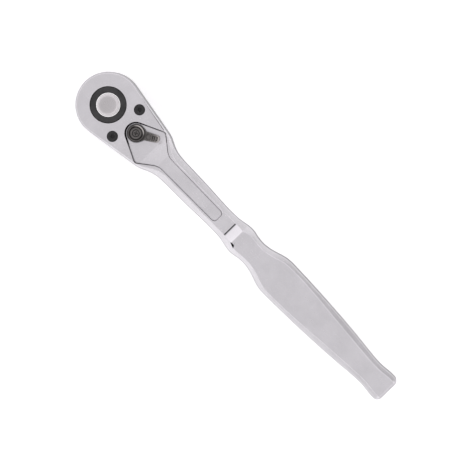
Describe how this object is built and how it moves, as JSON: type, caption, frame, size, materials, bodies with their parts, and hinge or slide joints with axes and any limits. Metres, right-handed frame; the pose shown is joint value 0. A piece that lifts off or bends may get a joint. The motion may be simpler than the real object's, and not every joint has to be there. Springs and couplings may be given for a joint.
{
  "type": "ratchet wrench",
  "caption": "Reversible half-inch square drive ratchet wrench with a tear-drop head, quick-release button, reversing lever in a pocket and a one-piece forged handle.",
  "frame": {"origin": "on the drive axis, at the shoulder of the square drive that a socket meets", "axes": "+X along the handle towards its end, +Z along the drive axis towards the reversing lever, the square drive points to -Z"},
  "size_m": [0.25, 0.038, 0.0331],
  "materials": {
    "polished_chrome": "polished chrome plate over a forging",
    "cover_steel": "satin chrome plate",
    "black_oxide": "black oxide, oiled",
    "gear_black": "black phosphate, satin",
    "button_chrome": "polished, dished",
    "bright_steel": "ground steel",
    "spring_steel": "drawn wire",
    "hardened_steel": "hardened steel, oiled",
    "gunmetal": "dark nickel, satin",
    "seal_rubber": "matt nitrile"
  },
  "bodies": {
    "wrench": {"wrench_body": "polished_chrome", "cover_plate": "cover_steel", "cover_screws": "black_oxide", "gear_o_ring": "seal_rubber", "lever_o_ring": "seal_rubber"},
    "drive": {"drive_gear": "gear_black", "button_snap_ring": "spring_steel"},
    "release": {"release_button": "button_chrome", "release_stem": "bright_steel", "release_spring": "spring_steel"},
    "detent": {"detent_ball": "bright_steel"},
    "reverser": {"reversing_lever": "gunmetal", "lever_screw": "gunmetal", "reverser_shaft": "hardened_steel"},
    "rocker": {"pawl": "hardened_steel"},
    "plunger": {"pawl_plunger": "bright_steel", "plunger_spring": "spring_steel"}
  },
  "joints": [
    {"name": "drive_spin", "type": "hinge", "parent": "wrench", "child": "drive", "pos_m": [0, 0, 0], "axis": [0, 0, 1], "continuous": true},
    {"name": "lever_turn", "type": "hinge", "parent": "wrench", "child": "reverser", "pos_m": [0.0229, 0, 0], "axis": [0, 0, 1], "range_deg": [-60, 0]},
    {"name": "pawl_rock", "type": "hinge", "parent": "wrench", "child": "rocker", "pos_m": [0.0172, 0, 0], "axis": [0, 0, 1], "range_deg": [0, 14.1]},
    {"name": "button_press", "type": "slide", "parent": "drive", "child": "release", "axis": [0, 0, -1], "range_m": [0, 0.0025], "stiffness_N_per_m": 1500, "springref_m": -0.002, "deforming": ["release_spring"]},
    {"name": "ball_retract", "type": "slide", "parent": "drive", "child": "detent", "axis": [0, -1, 0], "range_m": [0, 0.0011]},
    {"name": "plunger_slide", "type": "slide", "parent": "reverser", "child": "plunger", "axis": [0.866, 0.5, 0], "range_m": [0, 0.0006], "stiffness_N_per_m": 1500, "springref_m": -0.0005, "deforming": ["plunger_spring"]}
  ],
  "couplings": [
    {"joint": "pawl_rock", "follows": "lever_turn", "ratio": -0.23333},
    {"joint": "ball_retract", "follows": "button_press", "ratio": 0.42}
  ]
}
